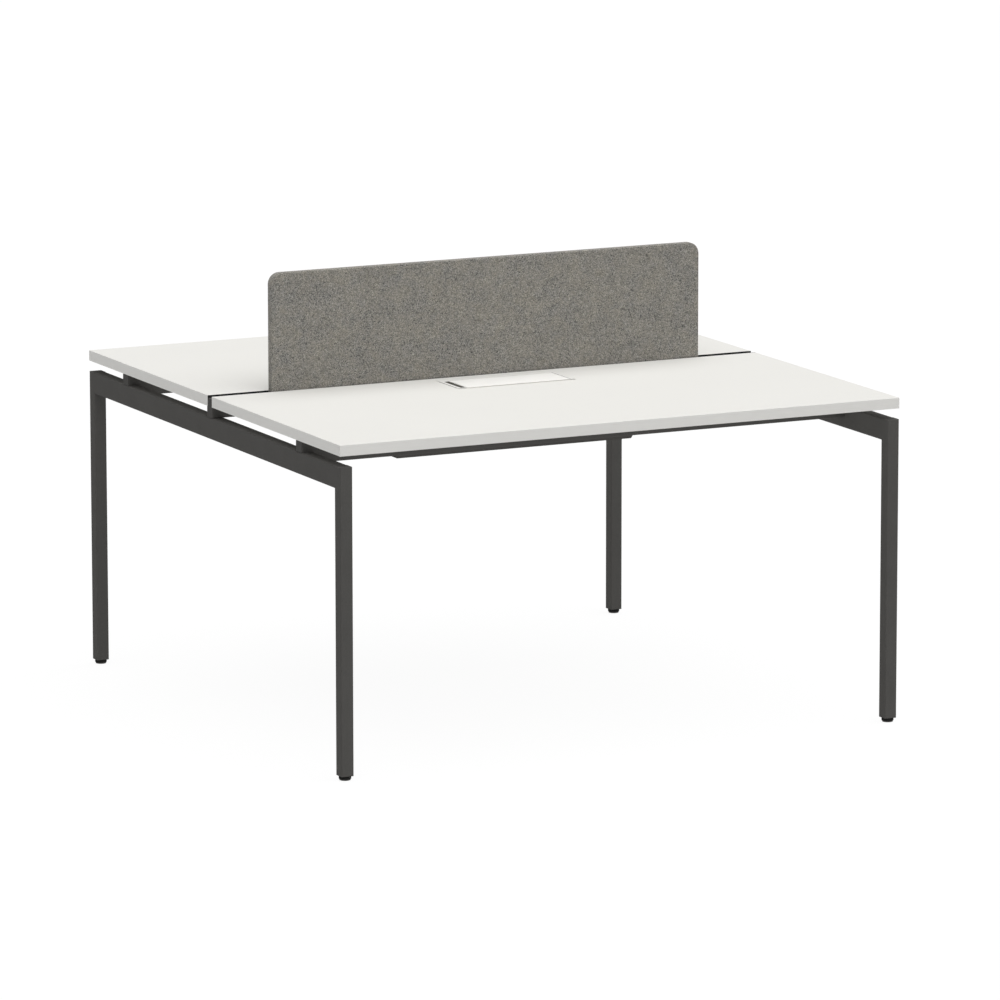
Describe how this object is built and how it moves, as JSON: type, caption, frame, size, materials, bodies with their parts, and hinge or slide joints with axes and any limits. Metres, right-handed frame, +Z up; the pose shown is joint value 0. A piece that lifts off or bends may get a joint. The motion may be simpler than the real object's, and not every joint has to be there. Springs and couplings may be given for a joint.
{
  "type": "benching desk for two",
  "caption": "Back-to-back bench desk: white worktops on a grey steel frame with slim square legs, a felt centre screen, flip-top cable boxes and a cable tray.",
  "frame": {"origin": "on the floor at the middle of the desk", "axes": "+X along the worktops, -Y towards the front user, +Z up"},
  "size_m": [1.4, 1.424, 1.028],
  "materials": {
    "worktop_white": "matt white melamine on chipboard",
    "edge_band_white": "matt white edging",
    "frame_grey": "dark grey fine-texture powder coat on steel",
    "channel_black": "matt black coated profile",
    "cap_grey": "dark grey moulded plastic",
    "foot_black": "black moulded plastic",
    "screen_felt": "warm grey mottled wool felt",
    "screen_board": "raw fibreboard",
    "flip_top_white": "satin white moulding",
    "flip_lid_white": "satin white coated extrusion",
    "bright_steel": "bright drawn rod"
  },
  "bodies": {
    "desk_frame": {"front_worktop": "worktop_white", "front_top_inner_edge_band": "edge_band_white", "front_top_outer_edge_band": "edge_band_white", "front_top_left_edge_band": "edge_band_white", "front_top_right_edge_band": "edge_band_white", "front_flip_frame": "flip_top_white", "front_hinge_rod": "bright_steel", "front_beam": "frame_grey", "front_beam_left_cap": "cap_grey", "front_beam_bracket_left": "frame_grey", "front_spine_bracket_left": "frame_grey", "front_left_leg": "frame_grey", "front_left_leg_cap": "frame_grey", "front_left_leg_plug": "cap_grey", "front_beam_right_cap": "cap_grey", "front_beam_bracket_right": "frame_grey", "front_spine_bracket_right": "frame_grey", "front_right_leg": "frame_grey", "front_right_leg_cap": "frame_grey", "front_right_leg_plug": "cap_grey", "rear_worktop": "worktop_white", "rear_top_inner_edge_band": "edge_band_white", "rear_top_outer_edge_band": "edge_band_white", "rear_top_left_edge_band": "edge_band_white", "rear_top_right_edge_band": "edge_band_white", "rear_flip_frame": "flip_top_white", "rear_hinge_rod": "bright_steel", "rear_beam": "frame_grey", "rear_beam_left_cap": "cap_grey", "rear_beam_bracket_left": "frame_grey", "rear_spine_bracket_left": "frame_grey", "rear_left_leg": "frame_grey", "rear_left_leg_cap": "frame_grey", "rear_left_leg_plug": "cap_grey", "rear_beam_right_cap": "cap_grey", "rear_beam_bracket_right": "frame_grey", "rear_spine_bracket_right": "frame_grey", "rear_right_leg": "frame_grey", "rear_right_leg_cap": "frame_grey", "rear_right_leg_plug": "cap_grey", "left_side_rail": "frame_grey", "spine_beam_left_cap": "cap_grey", "screen_channel_left_cap": "cap_grey", "tray_hanger_left": "frame_grey", "right_side_rail": "frame_grey", "spine_beam_right_cap": "cap_grey", "screen_channel_right_cap": "cap_grey", "tray_hanger_right": "frame_grey", "spine_beam": "frame_grey", "screen_channel": "channel_black", "screen_core": "screen_board", "screen_cover": "screen_felt", "cable_tray": "frame_grey"},
    "front_lid": {"front_flip_lid": "flip_lid_white"},
    "rear_lid": {"rear_flip_lid": "flip_lid_white"},
    "front_left_foot": {"front_left_levelling_foot": "foot_black"},
    "front_right_foot": {"front_right_levelling_foot": "foot_black"},
    "rear_left_foot": {"rear_left_levelling_foot": "foot_black"},
    "rear_right_foot": {"rear_right_levelling_foot": "foot_black"}
  },
  "joints": [
    {"name": "front_lid_hinge", "type": "hinge", "parent": "desk_frame", "child": "front_lid", "pos_m": [0, -0.057, 0.752], "axis": [-1, 0, 0], "range_deg": [0, 100]},
    {"name": "rear_lid_hinge", "type": "hinge", "parent": "desk_frame", "child": "rear_lid", "pos_m": [0, 0.057, 0.752], "axis": [1, 0, 0], "range_deg": [0, 100]},
    {"name": "front_left_foot_screw", "type": "slide", "parent": "desk_frame", "child": "front_left_foot", "axis": [0, 0, -1], "range_m": [0, 0.015]},
    {"name": "front_right_foot_screw", "type": "slide", "parent": "desk_frame", "child": "front_right_foot", "axis": [0, 0, -1], "range_m": [0, 0.015]},
    {"name": "rear_left_foot_screw", "type": "slide", "parent": "desk_frame", "child": "rear_left_foot", "axis": [0, 0, -1], "range_m": [0, 0.015]},
    {"name": "rear_right_foot_screw", "type": "slide", "parent": "desk_frame", "child": "rear_right_foot", "axis": [0, 0, -1], "range_m": [0, 0.015]}
  ]
}
